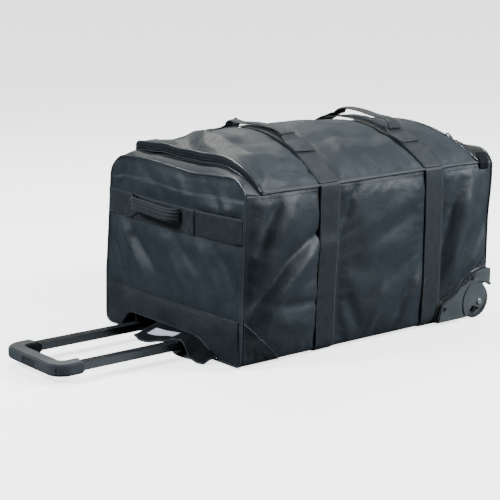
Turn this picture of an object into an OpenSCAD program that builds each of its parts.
// Wheeled duffel bag with a U-shaped zipped lid, webbing carry handles,
// a telescoping trolley handle under the floor and two corner wheels.
// Millimetres, +Z up. Origin on the ground under the middle of the bag.
// +X is the wheel end, -X the trolley-handle end, -Y the near long side.

/* [Bag body] */
// Length of the bag body
length = 650; // [600:5:750]
// Width of the bag body
width = 450; // [380:5:480]
// Height of the seam between side walls and lid
seam_z = 330; // [280:1:360]
// Height of the crown of the lid at its highest point
crown = 408; // [380:1:430]
// Height of the top edge of the end panels
end_top = 358; // [340:1:380]
// Outer underside of the fabric bottom above the ground
floor_z = 4; // [3:0.5:14]
// Thickness of the padded fabric walls
wall = 2.5; // [2:0.1:4]

/* [Webbing] */
// Width of all flat webbing
web_w = 50; // [38:1:50]
// Thickness of one layer of webbing
web_t = 2.5; // [1.5:0.1:3]
// X position of the strap nearer the trolley handle
strap_l = -116; // [-160:1:-80]
// X position of the strap nearer the wheels
strap_r = 162; // [120:1:200]
// Width of the folded carry handle loop
fold_w = 25; // [20:1:30]
// Height of the carry loop above the lid
arch = 26; // [24:1:45]

/* [Trolley handle] */
// Distance of each tube from the middle plane
tube_y = 80; // [60:1:90]
// Height of the tube centre above ground
tube_z = 25; // [24:1:30]
// Width of an inner tube
tube_w = 20; // [16:1:22]
// Height of an inner tube
tube_h = 15; // [12:1:16]
// Outermost face of the grip beyond the bag end, drawn out
reach = 320; // [200:5:340]
// Depth of the grip bar
grip_d = 32; // [28:1:36]
// Height of the grip bar
grip_h = 23; // [20:1:26]

/* [Wheels] */
// Wheel diameter
wheel_d = 76; // [70:1:90]
// Wheel width
wheel_w = 22; // [18:1:26]
// X position of the wheel axle
wheel_x = 296; // [290:1:305]
// Axle diameter
axle_d = 8; // [6:1:10]

/* [Hidden] */
end0 = -length/2;            // handle end
end1 = length/2;             // wheel end
side_y = width/2;
wheel_r = wheel_d/2;         // also the height of the axle
wheel_y = side_y - 4;        // middle plane of a wheel
hub_r = 29;
zip_x = 298;                 // line of the zip across both ends
zip_y = 206;                 // line of the zip along the far side
tape_z = [-6.6, -5.2];       // zip tape, relative to the lid surface
bead_z = [-5.1, -1.3];       // raised edge of the tape, likewise
slider_y = 10;               // each slider from the middle, before parking
park_y = 150;                // sideways shift of the parked sliders
band_x = end0 - 0.3 - web_t; // outer face of the end band
grab_y = 20;                 // middle of the end grab handle
grip_x = end0 - reach;       // outer face of the grip
tube_len = 526;
tube_x = grip_x + 24;        // outer end of the inner tubes
pin_x = tube_x + tube_len - 20; // lock pins
stow = -308;                 // travel from rest to stowed
draw = 95;                   // travel from rest to fully drawn out
rod_y = tube_y - 5;          // push rods
guide_x0 = -262;
guide_x1 = 244;

BLACK = [0.13, 0.14, 0.16];
PANEL = [0.20, 0.22, 0.25];
WEBBING = [0.10, 0.11, 0.12];
GREY = [0.36, 0.37, 0.38];
METAL = [0.75, 0.76, 0.78];
RUBBER = [0.08, 0.08, 0.08];
PALE = [0.80, 0.80, 0.86];
BOARD = [0.30, 0.28, 0.25];

// Lid height along the middle: [x, z]
crown_line = [[end0, end_top], [end0+40, crown-16], [end0+75, crown-5], [end0+145, crown],
    [0, crown], [190, crown-11], [262, crown-16], [308, crown-17], [end1, end_top-4]];
// Fullness of the lid's cross-section: [x, exponent]
fullness = [[end0, 7], [end0+45, 3], [end0+120, 2.1], [0, 2], [308, 2], [end1, 6]];
function lid_z(x, y) = seam_z
    + (lookup(x, crown_line) - seam_z) * (1 - pow(min(1, abs(y)/side_y), lookup(x, fullness)));

// ---------- helpers ----------
// Spans are [low, high] pairs.
function both(v) = [-v, v];
function ordered(a, b) = [min(a, b), max(a, b)];
// Y span given from the near side plane; negative is outside the bag
function near(a, b) = [a - side_y, b - side_y];
// Span at distances a to b from the middle plane, on side s
function span(s, a, b) = s > 0 ? [a, b] : [-b, -a];
// Y span reaching h either side of the near wheel's middle plane
function wheel_span(h) = [-wheel_y - h, -wheel_y + h];
function fan(a, b, c, d) = [[a, b, c], [a, c, d]];

// Sheet over the lid surface; grid is its cell counts, lift its faces' heights above the lid
module sheet(xs, ys, grid, lift) {
    nx = grid[0];
    ny = grid[1];
    function id(k, i, j) = (k*(nx+1) + i)*(ny+1) + j;
    points = [for (k = lift) for (i = [0:nx]) for (j = [0:ny])
        let (x = xs[0] + (xs[1]-xs[0])*i/nx, y = ys[0] + (ys[1]-ys[0])*j/ny)
        [x, y, lid_z(x, y) + k]];
    faces = concat(
        [for (i = [0:nx-1]) for (j = [0:ny-1]) each concat(
            fan(id(1,i,j), id(1,i,j+1), id(1,i+1,j+1), id(1,i+1,j)),
            fan(id(0,i,j), id(0,i+1,j), id(0,i+1,j+1), id(0,i,j+1)))],
        [for (i = [0:nx-1]) each concat(
            fan(id(0,i,0), id(1,i,0), id(1,i+1,0), id(0,i+1,0)),
            fan(id(0,i,ny), id(0,i+1,ny), id(1,i+1,ny), id(1,i,ny)))],
        [for (j = [0:ny-1]) each concat(
            fan(id(0,0,j), id(0,0,j+1), id(1,0,j+1), id(1,0,j)),
            fan(id(0,nx,j), id(1,nx,j), id(1,nx,j+1), id(0,nx,j+1)))]);
    polyhedron(points = points, faces = faces, convexity = 6);
}
// Box between any two opposite corners
module box(a, b) {
    translate([for (i = [0:2]) min(a[i], b[i])]) cube([for (i = [0:2]) abs(b[i] - a[i])]);
}
// Extrude a YZ outline along X
module extrude_x(xs) {
    translate([xs[0], 0, 0]) rotate([90, 0, 90])
        linear_extrude(xs[1] - xs[0], convexity = 6) children();
}
// Extrude an XZ outline along Y
module extrude_y(ys) {
    translate([0, ys[1], 0]) rotate([90, 0, 0])
        linear_extrude(ys[1] - ys[0], convexity = 6) children();
}
// Cylinder along Y
module cyl_y(x, z, r, ys, fn = 48) {
    translate([x, ys[0], z]) rotate([-90, 0, 0]) cylinder(r = r, h = ys[1] - ys[0], $fn = fn);
}
// Cylinder along Y, centred on the axle
module on_axle(r, ys, fn = 48) { cyl_y(wheel_x, wheel_r, r, ys, fn); }
module far_side() { mirror([0, 1, 0]) children(); }

// ---------- fabric body ----------
module side_near() {
    color(PANEL) extrude_y(near(0, wall)) difference() {
        polygon([[end0+3, floor_z], [end1-3, floor_z], [end1-3, seam_z-2], [end0+3, seam_z-2]]);
        offset(delta = -3.6) housing_outline();
        polygon([[184, -5], [184, 14], [318, 40], [318, 92], [end1+5, 92], [end1+5, -5]]);
    }
}
module side_far() { far_side() side_near(); }
module end_shape() {
    top_r = 38;
    foot_r = 12;
    hull() for (s = [-1, 1]) {
        translate([s*(side_y-top_r), end_top-top_r]) circle(r = top_r, $fn = 48);
        translate([s*(side_y-foot_r), floor_z+foot_r]) circle(r = foot_r, $fn = 32);
    }
}
// Opening low in the handle end
module mouth() {
    offset(r = 5, $fn = 24) offset(delta = -5)
        polygon([[-172, -12], [-122, 32], [-104, 44], [130, 44], [148, 32], [182, -12]]);
}
module end_panel_handle() {
    color(PANEL) extrude_x([end0, end0 + wall]) difference() {
        end_shape();
        mouth();
    }
}
module end_panel_wheel() {
    color(PANEL) extrude_x([end1 - wall, end1]) difference() {
        end_shape();
        for (s = [-1, 1]) translate([s*side_y, 0]) square([2*(side_y-182), 208], center = true);
    }
}
module lower_band() {
    color(BLACK) extrude_x([end0 - 1.6, end0 - 0.1]) difference() {
        intersection() {
            offset(delta = -5) end_shape();
            translate([-side_y, 0]) square([width, 90]);
        }
        mouth();
    }
}
module bottom_panel() {
    color(BLACK) difference() {
        box([end0+3, -side_y+3, floor_z], [end1-3, side_y-3, floor_z+2]);
        for (s = [-1, 1]) box([238, s*180, 0], [end1+5, s*(side_y+5), 20]);
        box([end1-14, -190, 0], [end1, 190, 20]);
    }
}
module base_board() {
    color(BOARD) difference() {
        box([end0+5, -side_y+5, 51], [end1-5, side_y-5, 54]);
        for (s = [-1, 1]) box([226, s*178, 40], [end1+5, s*(side_y+5), 60]);
    }
}
// Fixed strips of the top around the lid
module rim_gusset() {
    lift = [-wall, 0];
    color(PANEL) {
        sheet([end0+3, -zip_x-4], both(side_y-3), [3, 24], lift);
        sheet([zip_x+4, end1-3], both(side_y-3), [3, 24], lift);
        sheet(both(zip_x+4), [zip_y+4, side_y-3], [24, 2], lift);
    }
}
module piping_ring() {
    difference() {
        offset(r = 2.6) end_shape();
        offset(delta = 0.06) end_shape();
    }
}
module piping_handle() {
    color(BLACK) extrude_x([end0-1, end0+wall]) difference() {
        piping_ring();
        translate([4, 0]) square([350, 60], center = true);
    }
}
module piping_wheel() {
    color(BLACK) extrude_x([end1-wall, end1+1]) difference() {
        piping_ring();
        square([2*width, 214], center = true);
    }
}
module corner_patches() {
    for (s = [-1, 1]) color(BLACK) extrude_y(span(s, side_y+0.1, side_y+1.6))
        polygon([[end0+4, floor_z], [end0+88, floor_z], [end0+4, 92]]);
}
module wheel_patch() {
    color(BLACK) extrude_y(near(-1.4, -0.1))
        polygon([[191, 52], [224, 70], [256, 100], [end1-4, 108],
                 [end1-4, 124], [250, 118], [214, 98], [188, 66]]);
}
module wheel_patches() {
    wheel_patch();
    far_side() wheel_patch();
}
// Tab on the near side at the wheel end of the zip
module zip_tabs() {
    color(WEBBING) box([zip_x-3, -side_y-3.4, 312], [zip_x+19, -side_y-0.3, 329]);
}

// ---------- lid ----------
module lid_panel() {
    color(PANEL) sheet(both(zip_x-4), [-side_y+3, zip_y-4], [24, 24], [-wall, 0]);
}
module storm_flap_handle() {
    color(BLACK) sheet([-316, -272], [-214, zip_y-12], [6, 24], [3.6, 5.8]);
}
module storm_flap_wheel() {
    color(BLACK) sheet([262, 289.5], [-214, zip_y-12], [2, 24], [1.6, 3.8]);
}
// Three lengths, broken where the straps pass
module storm_flap_far() {
    gap = web_w/2 + 3;
    // [start x, end x, cells along X]
    lengths = [[-262, strap_l-gap, 6], [strap_l+gap, strap_r-gap, 10], [strap_r+gap, 255, 4]];
    color(BLACK) for (f = lengths)
        sheet([f[0], f[1]], [zip_y-22, zip_y+12], [f[2], 2], [1.2, 3.2]);
}
// Zip tape across both ends; b is +1 for the body half, -1 for the lid half
module zip_ends(b) {
    ys = [-210, b > 0 ? zip_y - 0.6 : zip_y - 9.6];
    for (s = [-1, 1]) {
        edge = s*(zip_x + b*0.2);
        sheet(ordered(edge, s*(zip_x + b*9)), ys, [1, 20], tape_z);
        sheet(ordered(edge, s*(zip_x + b*2.2)), ys, [1, 20], bead_z);
    }
}
module zip_body() {
    color(WEBBING) {
        zip_ends(1);
        sheet(both(zip_x+9), [zip_y+0.2, zip_y+9], [24, 1], tape_z);
        sheet(both(zip_x+2.2), [zip_y+0.2, zip_y+2.2], [24, 1], bead_z);
    }
}
module zip_lid() {
    color(WEBBING) {
        zip_ends(-1);
        sheet(both(zip_x-0.2), [zip_y-9, zip_y-0.2], [24, 1], tape_z);
        sheet(both(zip_x-4), [zip_y-2.2, zip_y-0.2], [24, 1], bead_z);
    }
}
// Swings a part placed near the middle along the arc of the wheel-end zip
module park() {
    rise = lookup(zip_x, crown_line) - seam_z;
    arc_r = side_y*side_y/(2*rise);
    arc_z = seam_z + rise - arc_r;
    translate([0, 0, arc_z]) rotate([asin(park_y/arc_r), 0, 0])
        translate([0, 0, -arc_z]) children();
}
function slider_z(y) = lid_z(zip_x, y) + 1.9;
module slider(y) {
    color(METAL) park() translate([zip_x, y, slider_z(y)]) {
        hull() {
            translate([-4.5, -7, 0]) cube([9, 14, 1.5]);
            translate([-5.5, -2, 0]) cube([11, 4, 1.5]);
        }
        for (post_y = [-5, 3]) translate([-1.5, post_y, 1.5]) cube([3, 2, 3.2]);
        translate([-1.5, -5, 4.7]) cube([3, 10, 1.3]);
    }
}
// Flat ring threaded through the bridge of its slider
module pull(y) {
    color(METAL) park() translate([zip_x, y, slider_z(y) + 3.1])
        mirror([0, y < 0 ? 1 : 0, 0]) rotate([14, 0, 0]) difference() {
            union() {
                translate([-5, -0.8, -0.8]) cube([10, 1.6, 1.6]);
                for (x = [-5, 3.4]) translate([x, -0.8, -0.8]) cube([1.6, 11, 1.6]);
                translate([-5, 9.6, -0.8]) cube([10, 3.6, 1.6]);
            }
            translate([0, 11.4, 0]) cylinder(r = 1.0, h = 5, center = true, $fn = 16);
        }
}
module zip_slider_a() { slider(slider_y); }
module zip_slider_b() { slider(-slider_y); }
module zip_pull_a() { pull(slider_y); }
module zip_pull_b() { pull(-slider_y); }

// ---------- webbing ----------
module side_strap(x) {
    color(WEBBING) extrude_y(near(-web_t-0.3, -0.3)) difference() {
        translate([x-web_w/2, floor_z+2]) square([web_w, seam_z-floor_z-5]);
        offset(delta = 0.5) housing_outline();
    }
}
module side_straps_near() {
    side_strap(strap_l);
    side_strap(strap_r);
}
module side_straps_far() { far_side() side_straps_near(); }
module lid_strap(x) {
    color(WEBBING)
        sheet([x-web_w/2, x+web_w/2], [-side_y+4, zip_y-5], [2, 28], [0.3, 0.3+web_t]);
}
module lid_strap_l() { lid_strap(strap_l); }
module lid_strap_r() { lid_strap(strap_r); }
module handle_feet() {
    for (x = [strap_l, strap_r]) color(WEBBING)
        for (ys = [[-162, -119], [74, 117]]) sheet([x-21, x+21], ys, [2, 5], [3.4, 7]);
}
module carry(x) {
    ends = [-115, 70];
    mid = (ends[0] + ends[1])/2;
    half = (ends[1] - ends[0])/2;
    n = 28;
    foot_z = [for (y = ends) max(lid_z(x-web_w/2, y), lid_z(x+web_w/2, y)) + 12.5];
    rise = lid_z(x, 0) + arch - (foot_z[0] + foot_z[1])/2;
    path = [for (i = [0:n])
        let (u = -1 + 2*i/n, base = foot_z[0] + (foot_z[1] - foot_z[0])*i/n)
        [mid + half*u, base + rise*(1 - pow(abs(u), 3.2))]];
    color(WEBBING) extrude_x([x - fold_w/2, x + fold_w/2]) polygon(concat(
        [for (p = path) p + [0, 2.2]],
        [for (i = [n:-1:0]) [mid + (path[i][0]-mid)*0.975, path[i][1]-2.2]]));
}
module carry_handle_l() { carry(strap_l); }
module carry_handle_r() { carry(strap_r); }
module end_band() {
    color(WEBBING) box([band_x, -side_y+6, 237], [end0-0.3, side_y-6, 237+web_w]);
}
module grab_feet() {
    color(WEBBING) for (s = [-1, 1]) {
        box([band_x-web_t, grab_y+s*76, 240], [band_x, grab_y+s*104, 284]);
        box([band_x-9.5, grab_y+s*74.5, 258], [band_x, grab_y+s*77, 281]);
    }
}
module grab_handle() {
    n = 20;
    path = [for (i = [0:n]) let (u = -1 + 2*i/n)
        [end0 - 13 - 14*(1 - pow(abs(u), 3)), grab_y + 73.5*u]];
    color(WEBBING) translate([0, 0, 256.5]) linear_extrude(26, convexity = 4)
        polygon(concat([for (p = path) p - [2.2, 0]],
                       [for (i = [n:-1:0]) path[i] + [2.2, 0]]));
}

// ---------- trolley ----------
module pocket_flap() { color(BLACK) box([end0-66, -150, 42], [end0-3, 28, 44.2]); }
module label_patch() { color(PALE) box([end0-46, -64, 44.3], [end0-18, 12, 45]); }
module trolley_tray() {
    color(BLACK) difference() {
        box([end0+2.6, -124, floor_z+2.2], [guide_x0, 124, 50.5]);
        box([end0-5, -121.5, floor_z+4.4], [guide_x0-4, 121.5, 48.5]);
        for (s = [-1, 1]) translate([guide_x0-2, s*tube_y, tube_z])
            cube([12, tube_w+0.6, tube_h+0.6], center = true);
    }
}
// Outer tube with a pin hole at each of the three lock positions
module guide(s) {
    bore_w = tube_w + 0.4;
    bore_h = tube_h + 0.4;
    run = guide_x1 - guide_x0;
    color(METAL) difference() {
        translate([guide_x0, s*tube_y-12, tube_z-9.5]) cube([run, 24, 19]);
        translate([guide_x0-1, s*tube_y-bore_w/2, tube_z-bore_h/2]) cube([run+2, bore_w, bore_h]);
        for (shift = [0, -draw, -stow])
            cyl_y(pin_x+shift, tube_z, 2.8, span(s, tube_y+9, tube_y+13), 24);
    }
}
module guide_tube_near() { guide(-1); }
module guide_tube_far() { guide(1); }
module guide_bracket() {
    color(BLACK) difference() {
        box([guide_x1-26, -100, floor_z+2.2], [guide_x1+4, 100, 44]);
        for (s = [-1, 1])
            box([guide_x1-40, s*tube_y-12, tube_z-9.5], [guide_x1, s*tube_y+12, tube_z+9.5]);
        box([guide_x1-30, -56, floor_z], [guide_x1-4, 56, 38]);
    }
}
module inner_tube(s) {
    y = s*tube_y - tube_w/2;
    z = tube_z - tube_h/2;
    color(METAL) difference() {
        translate([tube_x, y, z]) cube([tube_len, tube_w, tube_h]);
        translate([tube_x-1, y+1.5, z+1.5]) cube([tube_len+2, tube_w-3, tube_h-3]);
        cyl_y(pin_x, tube_z, 2.6, span(s, tube_y+6, tube_y+12), 24);
    }
}
module inner_tube_near() { inner_tube(-1); }
module inner_tube_far() { inner_tube(1); }
// Grip seen from above: a bar with a leg over each tube
module grip_plan() {
    offset(r = -9, $fn = 32) offset(delta = 9) difference() {
        hull() for (s = [-1, 1]) {
            translate([grip_x+34, s*(tube_y+18-34)]) circle(r = 34, $fn = 64);
            translate([grip_x+grip_d+27, s*(tube_y+17)]) square([2, 2], center = true);
        }
        translate([grip_x+grip_d, -(tube_y-16)]) square([60, 2*(tube_y-16)]);
    }
}
// Edges are rounded by stacked layers of shrinking outline
module grip_body() {
    layers = 5;
    edge_r = 8;
    step = edge_r/layers;
    difference() {
        union() {
            translate([0, 0, tube_z-grip_h/2+edge_r]) linear_extrude(grip_h-2*edge_r) grip_plan();
            for (k = [0:layers-1])
                let (mid = step*(k + 0.5), inset = edge_r - sqrt(edge_r*edge_r - mid*mid))
                for (s = [-1, 1])
                    translate([0, 0, tube_z + s*(grip_h/2-edge_r+mid) - step/2])
                        linear_extrude(step + 0.01) offset(delta = -inset) grip_plan();
        }
        box([grip_x+7, -tube_y-6, tube_z-5], [grip_x+20, tube_y+6, tube_z+5]);
        box([grip_x-1, -21, tube_z-6], [grip_x+12, 21, tube_z+6]);
        for (s = [-1, 1]) {
            box([tube_x, s*tube_y-tube_w/2, tube_z-tube_h/2],
                [grip_x+grip_d+40, s*tube_y+tube_w/2, tube_z+tube_h/2]);
            box([grip_x+10, s*rod_y-3.5, tube_z-3.5], [tube_x+1, s*rod_y+3.5, tube_z+3.5]);
        }
    }
}
// The part of the grip between two distances from its outer face
module grip_part(from, to) {
    color(GREY) intersection() {
        grip_body();
        box([grip_x+from, -120, 0], [grip_x+to, 120, 60]);
    }
}
module grip_front() { grip_part(-5, 16); }
module grip_back() { grip_part(16, 90); }
module release_button() {
    color(GREY) {
        box([grip_x+0.8, -20.6, tube_z-5.6], [grip_x+8, 20.6, tube_z+5.6]);
        box([grip_x+7.9, -tube_y+2, tube_z-3], [grip_x+12, tube_y-2, tube_z+3]);
    }
}
module push_rods() {
    color(METAL) for (s = [-1, 1])
        box([grip_x+12, s*rod_y-2, tube_z-2], [pin_x-6, s*rod_y+2, tube_z+2]);
}
module lock_pin(s) {
    color(METAL) cyl_y(pin_x, tube_z, 2.5, span(s, tube_y+3, tube_y+tube_w/2), 24);
}
module lock_pin_near() { lock_pin(-1); }
module lock_pin_far() { lock_pin(1); }

// ---------- wheels ----------
// Wheel housing seen from the side: [x, z]
module housing_outline() {
    polygon([[178, 8], [180, 22], [185, 35], [192, 43], [202, 49], [213, 54], [222, 60],
             [231, 68], [243, 80], [256, 90], [273, 98], [290, 102.5], [311, 103.5],
             [331, 103], [331, 76], [322, 72], [322, 8]]);
}
module housing_shell() {
    difference() {
        union() {
            extrude_y(near(-12, -0.2)) housing_outline();
            extrude_y(near(-14, -12)) offset(delta = -2.2) housing_outline();
            extrude_y(near(-0.3, 36)) intersection() {
                offset(delta = -4) housing_outline();
                polygon([[238, 7], [end1-4, 7], [end1-4, 110], [238, 110]]);
            }
            intersection() {
                on_axle(wheel_r+10, near(-16, -10), 64);
                box([238, -side_y-16, 7], [end1+5, -side_y, 101]);
            }
        }
        on_axle(wheel_r+4, near(-20, 31), 64);
        box([wheel_x-wheel_r-3, -side_y-20, -5], [wheel_x+wheel_r+4, -side_y+31, wheel_r]);
        box([wheel_x, -side_y-20, -5], [end1+30, -side_y+31, 68]);
        on_axle(axle_d/2, near(-30, 50));
    }
}
// Plates outside and inside the wheel, bored for the axle
module axle_plates() {
    difference() {
        union() {
            extrude_y(near(-14, -8.5)) offset(r = 2, $fn = 24) offset(delta = -2)
                polygon([[254, 9], [262, 9], [267, 17], [271, 25], [276, 31], [284, 29],
                         [290, 26], [296, 23], [304, 23], [311, 28], [315, 38], [317, 48],
                         [315, 59], [307, 74], [320, 77], [328, 78], [328, 97], [284, 96],
                         [262, 84], [254, 66]]);
            extrude_y(near(31, 36)) translate([wheel_x-30, 14]) square([54, 60]);
        }
        on_axle(axle_d/2, near(-30, 50));
    }
}
module wheel_housing_near() {
    color(GREY) housing_shell();
    color(GREY) axle_plates();
}
module wheel_housing_far() { far_side() wheel_housing_near(); }
module axle_near() {
    color(METAL) difference() {
        union() {
            on_axle(axle_d/2, near(-15, 38));
            on_axle(5.8, near(-16.5, -14), 32);
            on_axle(4.2, near(-17.6, -16.5), 32);
            on_axle(7, near(36, 40), 6);
        }
        on_axle(1.6, near(-18, -16.4), 6);
    }
}
module axle_far() { far_side() axle_near(); }
module tyre_near() {
    color(RUBBER) translate([wheel_x, -wheel_y-wheel_w/2+0.5, wheel_r]) rotate([-90, 0, 0])
        rotate_extrude($fn = 72)
            polygon([[hub_r, 0.5], [wheel_r-2.5, 0.5], [wheel_r, 4], [wheel_r, wheel_w-5],
                     [wheel_r-2.5, wheel_w-1.5], [hub_r, wheel_w-1.5]]);
}
module tyre_far() { far_side() tyre_near(); }
module hub_near() {
    color(BLACK) difference() {
        union() {
            on_axle(hub_r, wheel_span(7), 64);
            on_axle(10, wheel_span(10.5), 32);
        }
        on_axle(6, wheel_span(20));
        for (a = [0:60:300]) translate([wheel_x, 0, wheel_r]) rotate([0, a, 0])
            translate([19.5, 0, 0]) cyl_y(0, 0, 5.5, wheel_span(20), 24);
    }
}
module hub_far() { far_side() hub_near(); }
module bearing_near() {
    color(METAL) difference() {
        on_axle(6, wheel_span(10.5));
        on_axle(axle_d/2+0.05, wheel_span(20));
    }
}
module bearing_far() { far_side() bearing_near(); }
module housing_screws() {
    color(METAL) for (m = [0, 1]) mirror([0, m, 0]) for (p = [[196, 36], [276, 90]])
        difference() {
            cyl_y(p[0], p[1], 3.6, near(-16.2, -14.02), 24);
            cyl_y(p[0], p[1], 1.5, near(-18, -15.2), 6);
        }
}
module skid_runners() {
    // [middle y, half width at the ground]
    color(BLACK) for (r = [[0, 13], [-140, 10], [140, 10]]) hull() {
        box([-296, r[0]-r[1], 0], [150, r[0]+r[1], 1]);
        box([-300, r[0]-r[1]-2, 2], [154, r[0]+r[1]+2, floor_z-0.05]);
    }
}

side_near();
side_far();
end_panel_handle();
end_panel_wheel();
lower_band();
bottom_panel();
base_board();
rim_gusset();
piping_handle();
piping_wheel();
corner_patches();
wheel_patches();
zip_tabs();
lid_panel();
storm_flap_handle();
storm_flap_wheel();
storm_flap_far();
zip_body();
zip_lid();
zip_slider_a();
zip_slider_b();
zip_pull_a();
zip_pull_b();
side_straps_near();
side_straps_far();
lid_strap_l();
lid_strap_r();
handle_feet();
carry_handle_l();
carry_handle_r();
end_band();
grab_feet();
grab_handle();
pocket_flap();
label_patch();
trolley_tray();
guide_tube_near();
guide_tube_far();
guide_bracket();
inner_tube_near();
inner_tube_far();
grip_front();
grip_back();
release_button();
push_rods();
lock_pin_near();
lock_pin_far();
wheel_housing_near();
wheel_housing_far();
axle_near();
axle_far();
tyre_near();
tyre_far();
hub_near();
hub_far();
bearing_near();
bearing_far();
housing_screws();
skid_runners();
